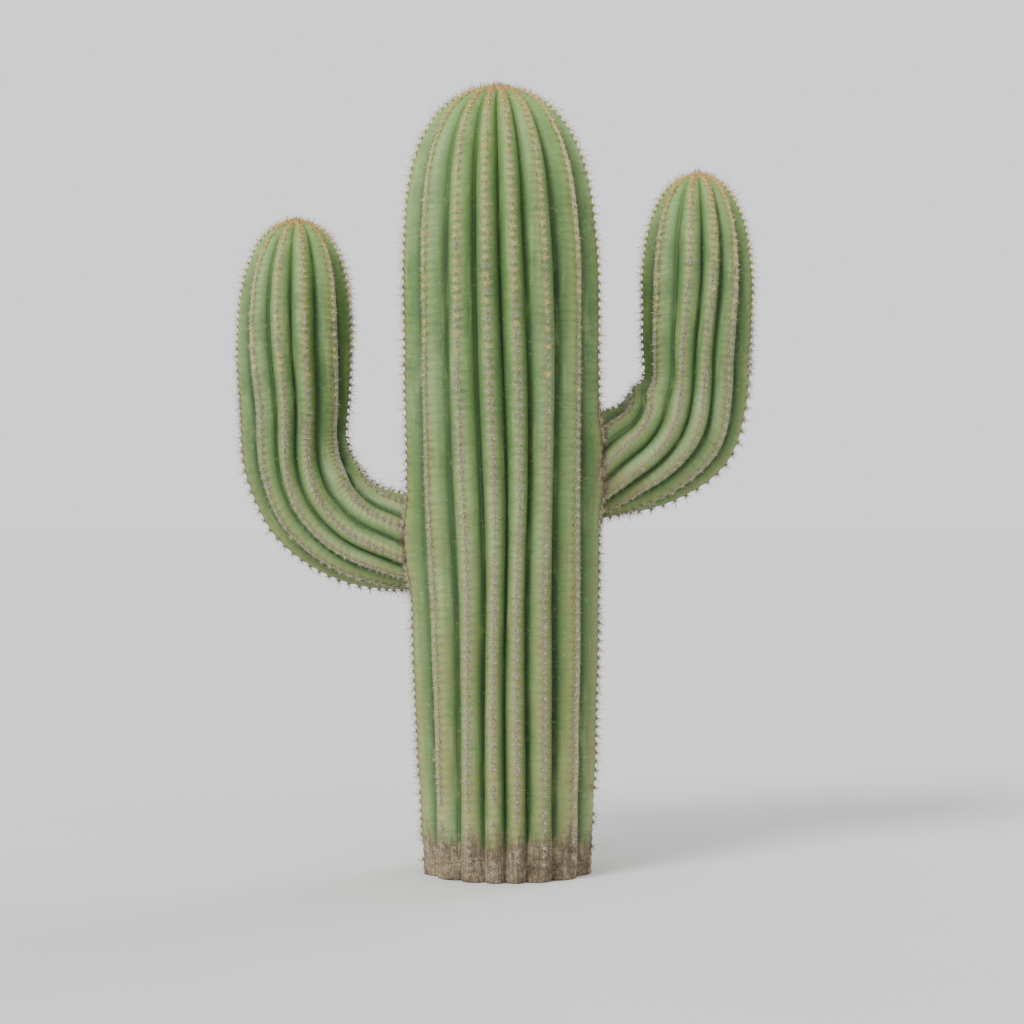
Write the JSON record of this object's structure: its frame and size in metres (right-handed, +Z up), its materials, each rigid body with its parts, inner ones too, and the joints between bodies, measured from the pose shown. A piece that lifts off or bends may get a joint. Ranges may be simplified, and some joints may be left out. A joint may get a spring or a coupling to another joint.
{
  "type": "saguaro cactus",
  "caption": "Stout saguaro cactus with a ribbed trunk, rounded top and upturned arms on both sides, rooted at a flat cut at ground level.",
  "frame": {"origin": "middle of the flat cut under the trunk, at ground level", "axes": "+Z up the trunk, -Y towards the front, from which the arms stand out to both sides along X"},
  "size_m": [2.0719, 0.8655, 3],
  "materials": {
    "trunk_skin": "waxy green skin with grey spines",
    "arm_skin": "waxy green skin with straw-coloured spines"
  },
  "bodies": {
    "root": {"trunk": "trunk_skin", "left_arm_base": "arm_skin", "left_arm_upright": "arm_skin", "right_arm_base": "arm_skin", "right_arm_upright": "arm_skin"}
  },
  "joints": []
}
